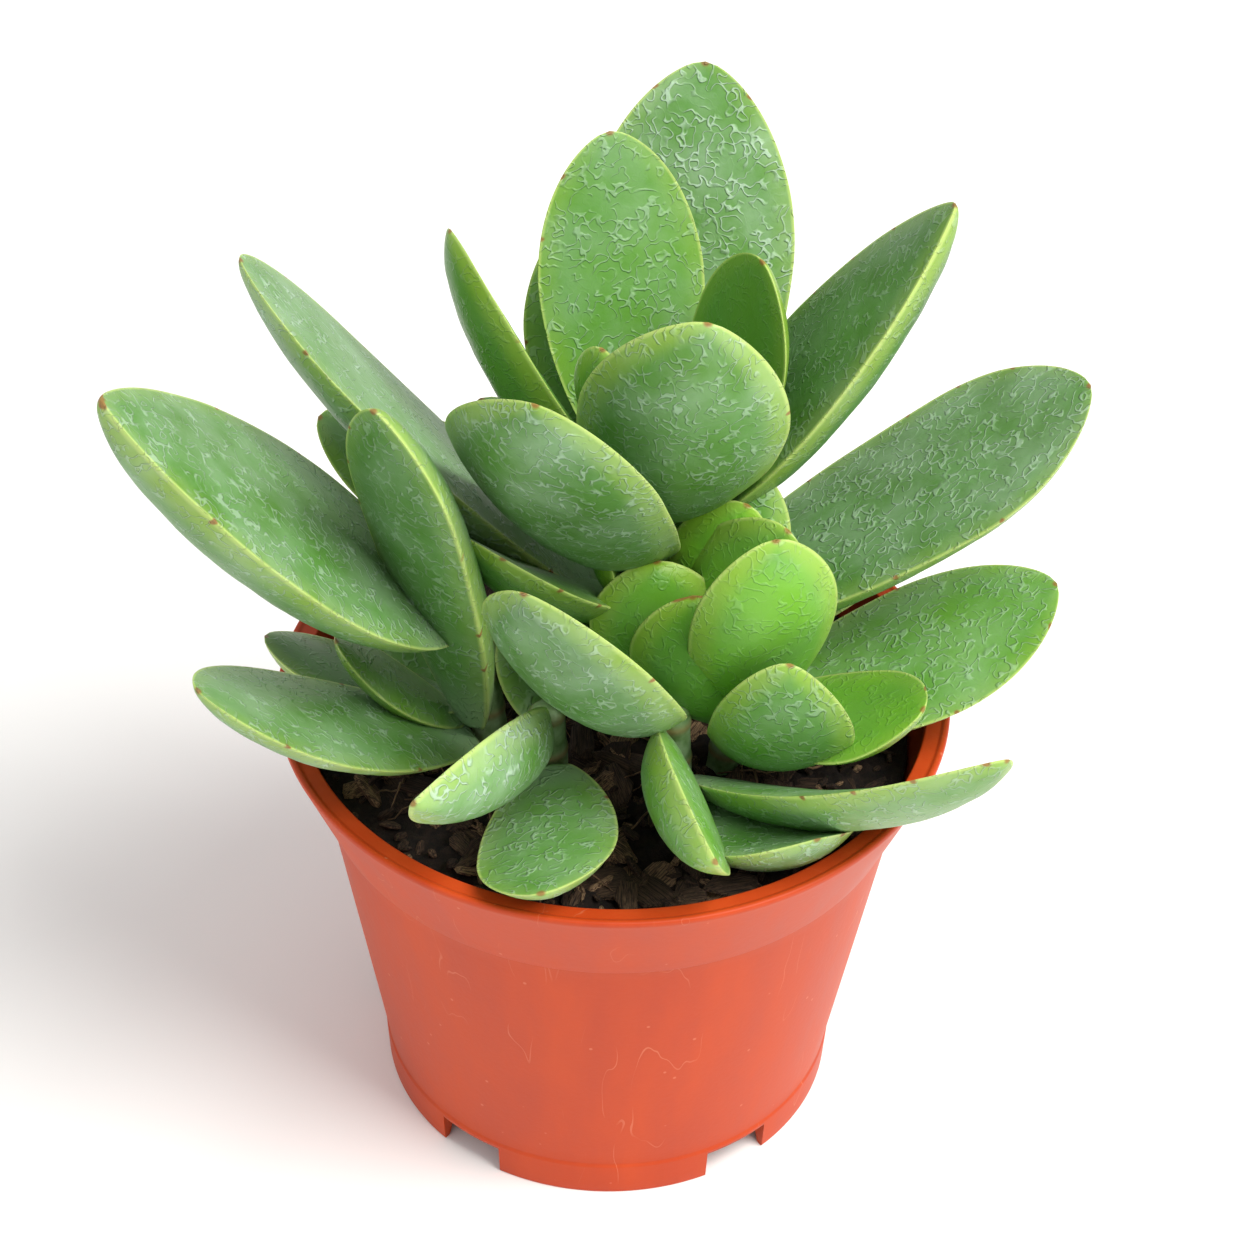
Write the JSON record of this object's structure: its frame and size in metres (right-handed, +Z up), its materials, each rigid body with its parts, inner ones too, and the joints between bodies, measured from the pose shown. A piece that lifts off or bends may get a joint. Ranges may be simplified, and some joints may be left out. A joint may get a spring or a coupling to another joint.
{
  "type": "potted crassula swaziensis plant",
  "caption": "Succulent with thick pointed oval leaves on short stems, growing in bark soil in a round tapered nursery pot with a flared band and feet.",
  "frame": {"origin": "on the ground under the pot's axis, which is also the middle of the whole plant's box", "axes": "+Z up along the pot's axis; -Y towards the front of the plant; +X to the right seen from the front"},
  "size_m": [0.1419, 0.1101, 0.1624],
  "materials": {
    "pot": "moulded terracotta-orange plastic, satin, with light scratches",
    "soil": "loose dark bark and peat, rough and dull",
    "stem": "smooth green stem with a pale waxy bloom",
    "leaf": "waxy green leaf skin with a pale bloom in fine wrinkles",
    "young_leaf": "smooth bright yellow-green leaf skin, soft sheen"
  },
  "bodies": {
    "root": {"pot": "pot", "soil": "soil", "stem_a": "stem", "stem_b": "stem", "stem_c": "stem", "stem_d": "stem", "stem_e": "stem", "stem_f": "stem", "leaf_a01": "leaf", "leaf_a02": "leaf", "leaf_a03": "leaf", "leaf_a04": "leaf", "leaf_a05": "leaf", "leaf_a06": "leaf", "leaf_a07": "leaf", "leaf_a08": "leaf", "leaf_a09": "leaf", "leaf_a10": "leaf", "leaf_a11": "leaf", "leaf_a12": "leaf", "leaf_a13": "leaf", "leaf_a14": "leaf", "leaf_a15": "leaf", "leaf_a16": "leaf", "leaf_b01": "young_leaf", "leaf_b02": "young_leaf", "leaf_b03": "young_leaf", "leaf_b04": "leaf", "leaf_b05": "leaf", "leaf_c01": "leaf", "leaf_c02": "leaf", "leaf_c03": "leaf", "leaf_c04": "leaf", "leaf_c05": "leaf", "leaf_c06": "leaf", "leaf_d01": "leaf", "leaf_d02": "leaf", "leaf_d03": "leaf", "leaf_d04": "leaf", "leaf_d05": "leaf", "leaf_e01": "leaf", "leaf_e02": "leaf", "leaf_e03": "leaf", "leaf_f01": "young_leaf", "leaf_f02": "young_leaf", "leaf_f03": "young_leaf", "leaf_f04": "young_leaf", "leaf_f05": "young_leaf"}
  },
  "joints": []
}
